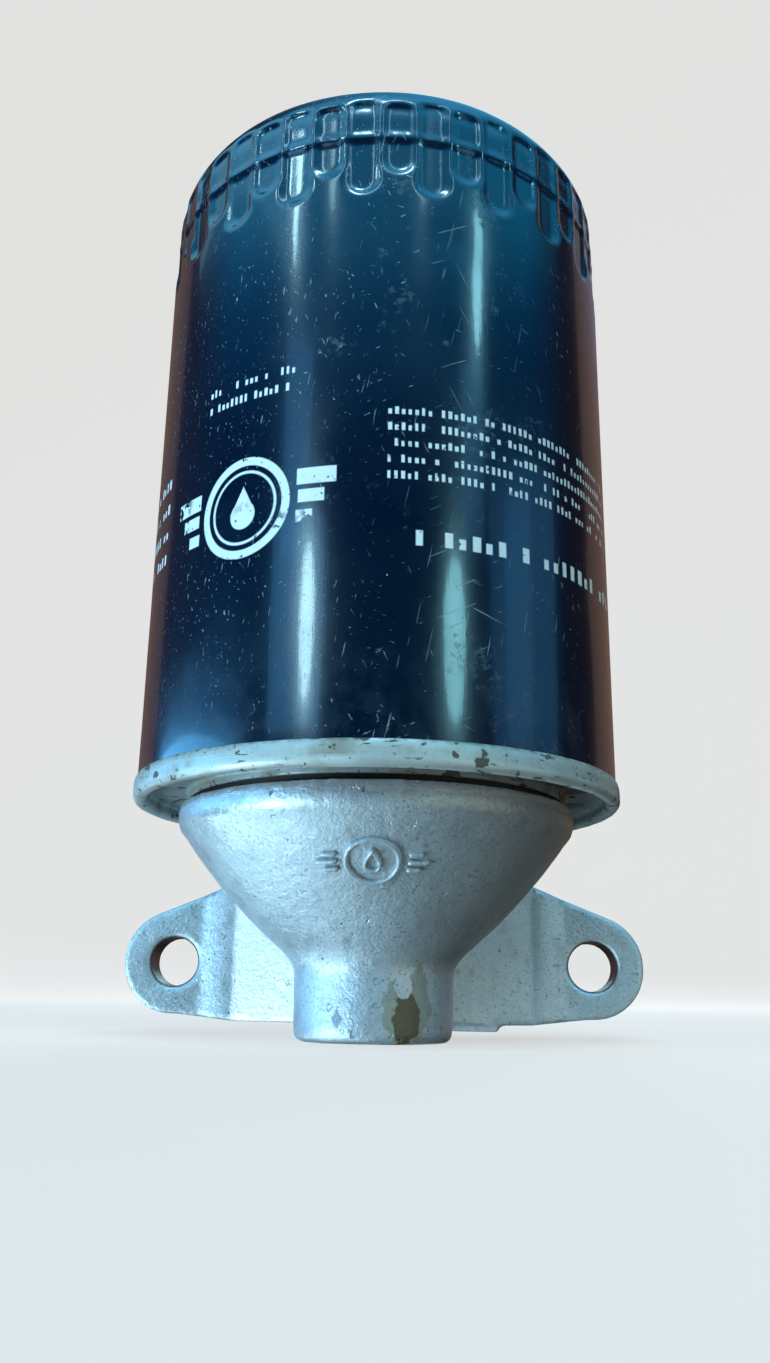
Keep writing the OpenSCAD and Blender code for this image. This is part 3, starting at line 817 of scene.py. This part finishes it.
def can_paint():
    s = Shader("can_paint")
    around = s.cylinder_place(CAN_R / MM)
    colour = s.mix(s.ramp(s.noise(34, 3, 0.5), 0.35, 0.65), PAINT_BLUE, PAINT_TEAL)
    colour = s.mix(s.ramp(s.noise(0.9, 5, 0.7), 0.3, 0.8, 0.0, 0.25), colour, PAINT_HAZE)

    handled = s.spots(26, 0.46, 0.16, 3.0, s.moved(40.0, 5.0, 12.0))
    long_marks = s.either(*(scratch(s, around, *marks) for marks in SCRATCHES))
    scratches = s.product(long_marks, s.blend(handled, 0.25, 1.0))
    specks = s.either(s.spots(1.5, 0.77, 0.03, 3.0),
                      s.spots(3.6, 0.80, 0.02, 5.0, s.moved(9.0, 90.0, 3.0)))
    specks = s.product(specks, s.ramp(s.z, 130.0, 85.0, 0.25, 1.0))
    scuffs = s.product(s.spots(13, 0.60, 0.1, 5.0, s.moved(3.0, 60.0, 31.0)),
                       s.spots(1.3, 0.52, 0.12, 6.0, s.moved(33.0, 6.0, 1.0)))
    dust = s.product(s.ramp(s.z, 66.0, 46.0), s.ramp(s.noise(4, 5, 0.65), 0.42, 0.72))
    colour = s.over(colour, dust, DUST, 0.14)
    colour = s.over(colour, scuffs, SCUFFED, 0.12)
    colour = s.over(colour, scratches, PRIMER, 0.62)
    white = print_mask(s)
    colour = s.over(colour, white, PRINT_WHITE)
    colour = s.mix(s.product(scratches, white, 0.7), colour, PAINT_BLUE)
    colour = s.over(colour, specks, CHIPPED)
    sides = s.ramp(s.size(s.theta()), 20.0, 50.0)
    foot_wear = s.product(s.ramp(s.z, 47.3, 46.9), s.ramp(s.noise(3.2, 5, 0.65), 0.56, 0.62), sides)
    colour = s.over(colour, foot_wear, RUSTY)

    rough = s.ramp(s.noise(16, 4, 0.6), 0.3, 0.75, 0.16, 0.25)
    rough = s.blend(s.either(scuffs, scratches), rough, 0.5)
    rough = s.blend(white, rough, 0.42)
    hairlines = s.noise(0.5, 3, 0.6, s.vector("ADD", around, (3.0, 3.0, 3.0)), (1, 1, 0.05))
    peel = s.bump(hairlines, 0.0045, s.bump(s.noise(2.6, 3, 0.5), 0.005))
    marks = s.bump(s.product(s.either(scratches, specks), -1.0), 0.02, peel)
    return s.finish(Base_Color=colour, Roughness=rough, Normal=s.bump(white, 0.015, marks), IOR=1.5,
                    Coat_Weight=0.5, Coat_Roughness=0.06, Coat_Normal=peel, Specular_IOR_Level=0.6)


CAST_DARK, CAST_LIGHT, CAST_GRAIN = (0.50, 0.55, 0.57), (0.64, 0.69, 0.71), (0.33, 0.36, 0.38)
# the first colour on this line is a painted highlight for the flange's left web
WEB_HIGHLIGHT, CAST_GLINT, MACHINED = (0.98, 0.84, 0.80), (0.82, 0.86, 0.88), (0.58, 0.60, 0.61)
# the last colour on this line is a painted brown shade for the right side of the cone and flange
GRIME, TARNISH, RIGHT_SHADE_BROWN = (0.12, 0.14, 0.15), (0.25, 0.25, 0.22), (0.20, 0.165, 0.12)
DIRT = (0.05, 0.05, 0.045)
VARNISH, VARNISH_CORE, SMUDGE = (0.17, 0.155, 0.065), (0.095, 0.058, 0.020), (0.055, 0.09, 0.12)
# the second colour on this line is painted shade for the walls of the bolt holes
DAB, HOLE_SHADE = (0.72, 0.74, 0.74), (0.035, 0.012, 0.010)
# dried varnish on the boss, its brown core, a bare gap: theta, half width, height, half height
STAIN_PATCHES = ((27.5, 19.0, 6.6, 6.6), (26.0, 10.0, 4.4, 4.6), (23.5, 7.0, 10.2, 2.3))


def patch(s, theta, ragged, at, wide, level, tall):
    """An oval at theta `at` and height `level`, with those half sizes and a ragged outline."""
    in_u = s.math("DIVIDE", s.minus(theta, at), wide)
    in_w = s.math("DIVIDE", s.minus(s.z, level), tall)
    return s.ramp(s.total(s.length(in_u, in_w), ragged), 0.90, 1.0, 1.0, 0.0)


def boss_marks(s, colour, theta, r):
    """Dried varnish and a dark smudge on the boss.

    It returns the colour, the varnish's mask, and the noise that makes its outline ragged.
    """
    edge = s.noise(3.2, 4, 0.6)
    ragged = s.product(s.minus(edge, 0.5), 1.5)
    stain, core, bare = (patch(s, theta, ragged, *place) for place in STAIN_PATCHES)
    front = s.product(s.ramp(s.y, 0.0, -4.0), s.ramp(r, 17.5, 16.5))
    stain = s.product(stain, front, s.minus(1.0, bare))
    colour = s.over(colour, stain, VARNISH, 0.62)
    colour = s.mix(s.product(stain, core, 0.88), colour, VARNISH_CORE)
    in_theta = s.size(s.math("DIVIDE", s.total(theta, 23.0), 6.0))
    in_z = s.size(s.math("DIVIDE", s.minus(s.z, 4.2), 3.0))
    smudge = s.product(s.ramp(s.total(in_theta, in_z, edge), 1.0, 1.35, 1.0, 0.0), front)
    return s.over(colour, smudge, SMUDGE, 0.7), stain, edge


def cast_aluminium():
    s = Shader("cast_aluminium")
    r, theta = s.radius(), s.theta()
    grain = s.noise(0.55, 4, 0.65)
    cloud = s.noise(12, 4, 0.6)
    colour = s.mix(s.ramp(cloud, 0.3, 0.7), CAST_DARK, CAST_LIGHT)
    colour = s.mix(s.ramp(grain, 0.35, 0.7, 0.0, 0.35), colour, CAST_GRAIN)
    grime = s.spots(0.62, 0.585, 0.07, 3.0, s.moved(7.0, 7.0, 7.0))
    colour = s.mix(s.product(grime, s.ramp(cloud, 0.35, 0.65, 0.2, 0.65)), colour, GRIME)
    colour = s.over(colour, s.spots(5, 0.56, 0.16, 5.0, s.moved(5.0, 3.0, 70.0)), TARNISH, 0.45)
    # painted shade: the right side of the cone and flange, which faces away from the light, is darkened
    # brown
    oily = s.product(s.ramp(theta, 12.0, 75.0, 0.0, 0.62), s.ramp(s.y, 38.0, 20.0),
                     s.ramp(s.z, 12.0, 20.0))
    colour = s.over(colour, oily, RIGHT_SHADE_BROWN)
    dirt = s.either(s.spots(1.7, 0.70, 0.03, 4.0, s.moved(11.0, 3.0, 5.0)),
                    s.spots(3.8, 0.735, 0.03, 5.0, s.moved(1.0, 23.0, 44.0)))
    colour = s.over(colour, dirt, DIRT, 0.75)
    colour = s.over(colour, s.spots(0.8, 0.735, 0.02, 2.0, s.moved(50.0, 8.0, 2.0)), CAST_GLINT, 0.8)
    colour, stain, edge = boss_marks(s, colour, theta, r)
    dab = s.product(s.band(s.x, 14.5, 25.0), s.ramp(s.z, 2.4, 2.0), s.ramp(s.y, 37.5, 36.8),
                    s.ramp(s.noise(1.6, 3, 0.5), 0.40, 0.46))
    colour = s.over(colour, dab, DAB)
    # painted highlight: the flange's left web is made lighter, where the light from the left falls on
    # it
    lit_web = s.product(s.ramp(s.x, -33.6, -33.0), s.ramp(s.x, -5.0, -12.0), s.ramp(s.y, 30.0, 33.0))
    colour = s.over(colour, lit_web, WEB_HIGHLIGHT, 0.6)

    rim = s.ramp(s.total(s.z, s.product(edge, 0.8)), LAND_Z / MM - 1.1, LAND_Z / MM - 0.9)
    back = s.ramp(s.y, head_high.y / MM - 0.6, head_high.y / MM - 0.2)
    bolt = s.length(s.minus(s.size(s.x), BOLT_X / MM),
                    s.minus(s.z, BOLT_Z / MM))
    bored = s.ramp(bolt, BOLT_R / MM + 0.5, BOLT_R / MM + 0.1)
    port = s.product(s.ramp(r, 10.6, 10.0), s.ramp(s.z, 24.0, 23.0))
    machined = s.either(rim, back, bored, port)
    turning = s.noise(0.5, 3, 0.6, stretch=(0.05, 0.05, 1.6))
    facing = s.math("SINE", s.product(r, 2 * math.pi / 0.42))
    colour = s.over(colour, machined, MACHINED, 0.55)
    # painted shade: the walls of the bolt holes are darkened almost black, the right hole most
    colour = s.mix(s.product(bored, s.ramp(s.x, -10.0, 10.0, 0.75, 0.9)), colour, HOLE_SHADE)

    rough = s.ramp(s.noise(7, 4, 0.6), 0.3, 0.7, 0.30, 0.44)
    rough = s.blend(machined, rough, 0.27)
    rubbed = s.product(s.ramp(s.size(s.total(theta, 36.0)), 18.0, 8.0),
                       s.ramp(s.z, 31.0, 34.5), s.ramp(s.z, 40.0, 38.0))
    rough = s.blend(rubbed, rough, 0.15)
    rough = s.blend(stain, rough, 0.22)
    # the metal is lower at the dirt and where the right side is painted in shade
    metal = s.blend(stain, s.blend(s.either(dirt, oily), 0.5, 0.3), 0.1)
    grit = s.bump(s.noise(1.9, 3, 0.6), 0.16, s.bump(grain, 0.12))
    pits = s.bump(s.product(s.either(dirt, s.spots(2.4, 0.68, 0.06, 3.0)), -1.0), 0.16, grit)
    cut = s.bump(s.product(machined, s.total(turning, s.product(facing, 0.3))), 0.012, pits)
    return s.finish(Base_Color=colour, Roughness=rough, Metallic=metal, Normal=cut)


TIN_DARK, TIN_LIGHT, TIN_BRUSHED = (0.40, 0.42, 0.37), (0.56, 0.58, 0.53), (0.34, 0.36, 0.32)
# the second colour on this line is a painted bluish shade for the inside of the seam
TIN_SAND, TIN_RECESS_SHADE, TIN_WORN = (0.30, 0.31, 0.27), (0.21, 0.27, 0.30), (0.55, 0.58, 0.55)
TAN, RUST_SPOT, JOINT_BROWN = (0.20, 0.17, 0.12), (0.055, 0.030, 0.016), (0.07, 0.05, 0.035)


def bare_tinplate():
    s = Shader("bare_tinplate")
    r = s.radius()
    brushed = s.noise(0.6, 4, 0.6, s.cylinder_place(46.0), (0.07, 0.07, 2.2))
    sand = s.noise(0.7, 4, 0.6)
    colour = s.mix(s.ramp(s.noise(15, 4, 0.6), 0.3, 0.7), TIN_DARK, TIN_LIGHT)
    colour = s.mix(s.ramp(brushed, 0.4, 0.75, 0.0, 0.25), colour, TIN_BRUSHED)
    colour = s.mix(s.ramp(sand, 0.5, 0.7, 0.0, 0.35), colour, TIN_SAND)
    # painted shade: inside the seam's inner radius, the lid and the wall round the gasket are darkened,
    # with a blue tint
    colour = s.over(colour, s.ramp(r, 44.3, 43.6), TIN_RECESS_SHADE, 0.6)
    tan = s.product(s.spots(8, 0.47, 0.16, 5.0, s.moved(2.0, 71.0, 4.0)), 0.72)
    colour = s.over(colour, tan, TAN)
    lip = s.product(s.ramp(s.z, seam_low.z / MM + 2.0, seam_low.z / MM + 1.2), s.ramp(r, 44.0, 44.8))
    worn = s.ramp(s.noise(5, 4, 0.6, s.moved(9.0, 9.0, 9.0)), 0.35, 0.60, 0.35, 0.9)
    colour = s.mix(s.product(lip, worn), colour, TIN_WORN)
    runs = s.product(s.spots(1.4, 0.60, 0.04, 4.0, stretch=(0.4, 0.4, 2.2)),
                     s.spots(9, 0.52, 0.05, 2.0, s.moved(60.0, 1.0, 2.0)))
    blot = s.either(s.spots(3.0, 0.625, 0.03, 2.0, s.moved(31.0, 3.0, 45.0)),
                    s.spots(1.2, 0.69, 0.03, 3.0, s.moved(3.0, 30.0, 5.0)), runs)
    colour = s.over(colour, blot, RUST_SPOT, 0.88)
    joint = s.product(s.ramp(s.z, 46.0, 46.8), s.ramp(s.noise(2.0, 4, 0.6), 0.35, 0.6),
                      s.ramp(r, 45.0, 45.6))
    colour = s.over(colour, joint, JOINT_BROWN, 0.8)
    marked = s.either(blot, tan)
    rough = s.blend(marked, s.ramp(s.noise(6, 4, 0.6), 0.3, 0.7, 0.38, 0.50), 0.75)
    pits = s.bump(s.product(blot, -1.0), 0.04, s.bump(s.total(brushed, sand), 0.03))
    metal = s.blend(marked, 0.42, 0.1)
    return s.finish(Base_Color=colour, Roughness=rough, Metallic=metal, Normal=pits)


def steel(name, light, dark, rust, rough_low, rough_high, grain=(1, 1, 1)):
    """Plated or oiled sheet and wire, of two tones; rust is how much it is marked."""
    s = Shader(name)
    streak = s.noise(0.8, 4, 0.6, stretch=grain)
    cloud = s.noise(7, 4, 0.6)
    colour = s.mix(s.ramp(cloud, 0.3, 0.7), dark, light)
    colour = s.mix(s.ramp(streak, 0.35, 0.7, 0.0, 0.35), colour, dark)
    marked = s.product(s.spots(2.5, 0.66 - 0.1 * rust, 0.06, 5.0), rust)
    colour = s.mix(marked, colour, (0.10, 0.050, 0.022))
    rough = s.blend(marked, s.ramp(s.noise(3, 3, 0.6), 0.3, 0.7, rough_low, rough_high), 0.75)
    metal = s.blend(marked, 1.0, 0.2)
    return s.finish(Base_Color=colour, Roughness=rough, Metallic=metal, Normal=s.bump(streak, 0.02))


def rubber(name, shade, oily):
    s = Shader(name)
    bloom = s.noise(4, 5, 0.65)
    colour = s.mix(s.ramp(bloom, 0.4, 0.75, 0.0, 0.5), shade, tuple(3.2 * c + 0.012 for c in shade))
    rough = s.ramp(s.noise(2.2, 4, 0.6), 0.3, 0.7, 0.55 - 0.3 * oily, 0.72 - 0.3 * oily)
    return s.finish(Base_Color=colour, Roughness=rough, Normal=s.bump(s.noise(0.35, 4, 0.6), 0.03))


def paper():
    s = Shader("filter_paper")
    fibre = s.noise(0.35, 6, 0.7)
    cloud = s.noise(9, 3, 0.5)
    colour = s.mix(s.ramp(cloud, 0.3, 0.7), (0.60, 0.44, 0.17), (0.72, 0.56, 0.26))
    colour = s.mix(s.ramp(fibre, 0.45, 0.7, 0.0, 0.4), colour, (0.42, 0.29, 0.10))
    dimple = s.math("SINE", s.product(s.z, 2 * math.pi / 3.2))
    relief = s.total(fibre, s.product(dimple, 0.5))
    return s.finish(Base_Color=colour, Roughness=0.88, Normal=s.bump(relief, 0.07))


def resin():
    s = Shader("bead_resin")
    cloud = s.noise(3, 5, 0.6)
    colour = s.mix(s.ramp(cloud, 0.3, 0.7), (0.42, 0.22, 0.05), (0.58, 0.36, 0.12))
    rough = s.ramp(cloud, 0.3, 0.7, 0.25, 0.45)
    return s.finish(Base_Color=colour, Roughness=rough, Normal=s.bump(cloud, 0.1))


aluminium = cast_aluminium()
tinplate = bare_tinplate()
plate_steel = steel("plate_steel", (0.30, 0.30, 0.29), (0.13, 0.13, 0.13), 0.5, 0.35, 0.5)
cap_steel = steel("cap_steel", (0.55, 0.54, 0.48), (0.36, 0.35, 0.31), 0.15, 0.25, 0.4, (0.2, 1, 1))
tube_steel = steel("tube_steel", (0.50, 0.51, 0.50), (0.30, 0.31, 0.31), 0.2, 0.3, 0.45, (1, 1, 0.15))
spring_steel = steel("spring_steel", (0.24, 0.25, 0.27), (0.10, 0.10, 0.12), 0.1, 0.22, 0.35)
stud_steel = steel("stud_steel", (0.48, 0.47, 0.43), (0.26, 0.25, 0.22), 0.3, 0.25, 0.42, (1, 1, 2))
valve_rubber = rubber("valve_rubber", (0.022, 0.022, 0.024), 0.6)
gasket_rubber = rubber("gasket_rubber", (0.010, 0.010, 0.012), 0.3)

NODE_MATERIALS = (
    (plate_steel, ("tapping_plate", "relief_seat", "relief_disc")),
    (cap_steel, ("lower_end_cap", "upper_end_cap", "pleat_clip", "relief_cage")),
    (tube_steel, ("centre_tube",)),
    (spring_steel, ("support_spring",)),
    (valve_rubber, ("relief_seal",)),
    (resin(), ("lower_bead", "upper_bead")),
    (paper(), ("pleated_element",)),
)

for material, nodes in NODE_MATERIALS:
    for node in nodes:
        slots = frame["nodes"][node].data.materials
        slots.clear()
        slots.append(material)

build_can(can_paint())
build_seam(tinplate)
build_gasket(gasket_rubber)
build_stud(stud_steel)
build_relief_coil(spring_steel)
build_valve_skirt(valve_rubber)
head = build_head(aluminium)
build_emblem(aluminium, head)


# ---------------- floor, lights and camera

FLOOR_R = 1.2                      # the flat floor; the dome starts at its edge
DOME_BEND = 1.6                    # radius of the sweep from the floor to the dome


def stage_material():
    """Pale and matt, and glowing softly away from the object, so that the background stays even."""
    s = Shader("stage")
    tone = s.noise(160, 3, 0.5)
    glow = s.ramp(s.radius(), 150.0, 1500.0, 0.58, 0.74, kind="SMOOTHSTEP")
    s.material.cycles.emission_sampling = "NONE"
    return s.finish(Base_Color=s.mix(tone, (0.27, 0.23, 0.21), (0.29, 0.245, 0.22)), Roughness=0.9,
                    Specular_IOR_Level=0.2, Emission_Color=(1.0, 0.99, 0.97), Emission_Strength=glow)


def stage_piece(name, outline, middle, material):
    """A round background from an open (r, z) outline; middle is the height of its middle point."""
    columns = 96
    points = [on_axis(all_round(columns), r, z) for r, z in outline] + [[(0, 0, middle)]]
    faces = [tuple(f) for f in ring_quads(len(outline), columns)[:, ::-1]]
    last, centre = (len(outline) - 1) * columns, len(outline) * columns
    faces += [(last + (j + 1) % columns, last + j, centre) for j in range(columns)]
    obj = smooth_mesh(name, np.concatenate(points), faces, material)
    obj.visible_diffuse = obj.visible_glossy = obj.visible_shadow = False


def build_stage():
    """A pale floor, and a dome that it sweeps into far away, so that no view sees an edge.

    Both are only a background: the lights reach the object through them, from below too.
    """
    material = stage_material()
    stage_piece("floor", [(r, 0.0) for r in (FLOOR_R, 0.8, 0.4, 0.12)], 0.0, material)
    dome_r = FLOOR_R + DOME_BEND
    quarter = np.linspace(0, math.pi / 2, 16)
    outline = [(FLOOR_R + DOME_BEND * math.sin(a), DOME_BEND * (1 - math.cos(a))) for a in quarter]
    outline += [(dome_r * math.cos(a), DOME_BEND + dome_r * math.sin(a)) for a in quarter[1:-1]]
    stage_piece("dome", outline, DOME_BEND + dome_r, material)


LIGHT_AWAY = 1.25
AIM = Vector((0, 0, 0.09))


def studio_light(name, theta, elevation, wide, tall, radiance, colour, shape="RECTANGLE", seen=True):
    """An area light that faces the object's middle from theta off the front.

    It is wide x tall degrees as the object sees it. One that isn't seen makes no highlights.
    """
    a, e = math.radians(theta), math.radians(elevation)
    away = Vector((math.sin(a) * math.cos(e), -math.cos(a) * math.cos(e), math.sin(e)))
    lamp = bpy.data.lights.new(name, "AREA")
    lamp.shape = shape
    lamp.size, lamp.size_y = (2 * LIGHT_AWAY * math.tan(math.radians(side) / 2)
                              for side in (wide, tall))
    lamp.energy = radiance * math.pi * lamp.size * lamp.size_y
    lamp.color = colour
    obj = in_scene(name, lamp)
    obj.location = AIM + away * LIGHT_AWAY
    obj.rotation_mode = "QUATERNION"
    obj.rotation_quaternion = away.to_track_quat("Z", "Y")
    obj.visible_camera = False
    obj.visible_glossy = seen


DEEP, BLUE, COOL = (0.12, 0.50, 1.0), (0.28, 0.72, 1.0), (0.52, 0.82, 1.0)
ICE, TEAL, WARM, DULL = (0.50, 0.87, 1.0), (0.34, 0.88, 1.0), (1.0, 0.62, 0.44), (1.0, 0.98, 0.80)
LIGHTS = (    # name, theta, elevation, width and height in degrees, radiance, colour
    ("left_thin", -44, 40.5, 1.8, 6.4, 27, ICE, "ELLIPSE"),
    ("left_middle", -39, 27, 12, 12, 1.8, DEEP),
    ("left_low", -31, 17.6, 6.5, 8.2, 21, ICE, "ELLIPSE"),
    ("left_low_halo", -36, 17.5, 24, 12, 2.4, DEEP),
    ("right_thin", 49, 36.2, 4, 7, 11, TEAL, "ELLIPSE"),
    ("right_middle", 46, 27, 10, 10, 1.2, DEEP),
    ("right_low", 37, 16.6, 10, 9.4, 9, TEAL, "ELLIPSE"),
    ("right_edge", 70, 18, 14, 14, 0.7, DEEP),
    ("right_edge_halo", 74, 18, 36, 18, 0.8, DEEP),
    ("left_glow_low", -88, 4.5, 56, 13, 8, DEEP),
    ("left_glow_high", -80, 52, 50, 22, 1.0, BLUE),
    ("overhead", -4, 66, 10, 9, 26, ICE),
    ("strip_left", -25, 53, 2.5, 26, 9, ICE),
    ("strip_right", 21, 53, 2.0, 26, 7.5, ICE),
    ("under_left", -60, -24, 30, 26, 12, COOL),
    ("below_left", -70, -58, 50, 30, 2.2, COOL),
    ("cone_glint", -110, -34, 12, 8, 19, COOL),
    ("under_right", 50, -15, 50, 40, 0.65, DULL),
    ("front_fill", 15, 42, 30, 30, 6.2, COOL, "RECTANGLE", False),
    ("back_strip", 180, 30, 16, 44, 2.2, ICE),
    ("back_fill", 170, 35, 40, 40, 3.5, COOL, "RECTANGLE", False),
    ("warm_back_left", -150, 16, 50, 60, 0.15, WARM),
    ("warm_back_right", 150, 16, 50, 60, 0.20, WARM),
)

# 0.5 is the horizon, and 1 straight up
SKY = ((0.50, (0.002, 0.003, 0.006)), (0.735, (0.001, 0.006, 0.022)), (0.785, (0.001, 0.055, 0.18)),
       (0.812, (0.012, 0.29, 0.56)), (1.0, (0.07, 0.50, 0.95)))
SKY_STRENGTH = 2.4
SKY_DIM = (0.012, 0.008, 0.007)      # behind the object, and most at the sides there


def build_sky():
    """A dim room that is blue in front, towards the ceiling; it is only seen in reflections."""
    world = bpy.data.worlds.new("world")
    bpy.context.scene.world = world
    world.use_nodes = True
    s = Nodes(world.node_tree)
    x, y, z = s.split(s.new("TexCoord").outputs["Generated"])
    blue = s.node("ValToRGB", {0: s.math("MULTIPLY_ADD", z, 0.5, 0.5)})
    stops = blue.node.color_ramp.elements
    while len(stops) < len(SKY):
        stops.new(0.5)
    for stop, (position, colour) in zip(stops, SKY):
        stop.position = position
        stop.color = (*colour, 1)
    off_middle = s.size(s.minus(x, 0.2))
    dimmed = s.product(s.ramp(y, -0.15, 0.25), s.ramp(off_middle, 0.1, 0.5, 0.55, 1.0))
    background = s.tree.nodes["Background"].inputs
    s.put(background["Color"], s.mix(dimmed, blue, SKY_DIM))
    s.put(background["Strength"], SKY_STRENGTH)
    world.cycles_visibility.diffuse = False


build_stage()
for light in LIGHTS:
    studio_light(*light)
build_sky()
bpy.context.scene.view_settings.view_transform = "Standard"

CAMERA_AT = Vector((9.26, -212.26, 8.18)) * MM
CAMERA_YAW, CAMERA_PITCH, CAMERA_ROLL = (math.radians(a) for a in (-2.156, 15.983, 0.864))
CAMERA_LENS, CAMERA_SENSOR = 29.0, 36


def build_camera():
    """Close in front, low, and looking up; a positive yaw turns it towards +X."""
    forward = Vector((math.sin(CAMERA_YAW) * math.cos(CAMERA_PITCH),
                      math.cos(CAMERA_YAW) * math.cos(CAMERA_PITCH), math.sin(CAMERA_PITCH)))
    level = Vector((math.cos(CAMERA_YAW), -math.sin(CAMERA_YAW), 0))
    upward = level.cross(forward)
    right = level * math.cos(CAMERA_ROLL) + upward * math.sin(CAMERA_ROLL)
    up = upward * math.cos(CAMERA_ROLL) - level * math.sin(CAMERA_ROLL)
    data = bpy.data.cameras.new("camera")
    data.sensor_fit = "VERTICAL"
    data.sensor_width = data.sensor_height = CAMERA_SENSOR
    data.lens = CAMERA_LENS
    data.clip_start, data.clip_end = 0.01, 50
    camera = in_scene("camera", data)
    turn = Matrix((right, up, -forward)).transposed()
    camera.matrix_world = Matrix.Translation(CAMERA_AT) @ turn.to_4x4()
    bpy.context.scene.camera = camera


build_camera()

bpy.context.view_layer.update()
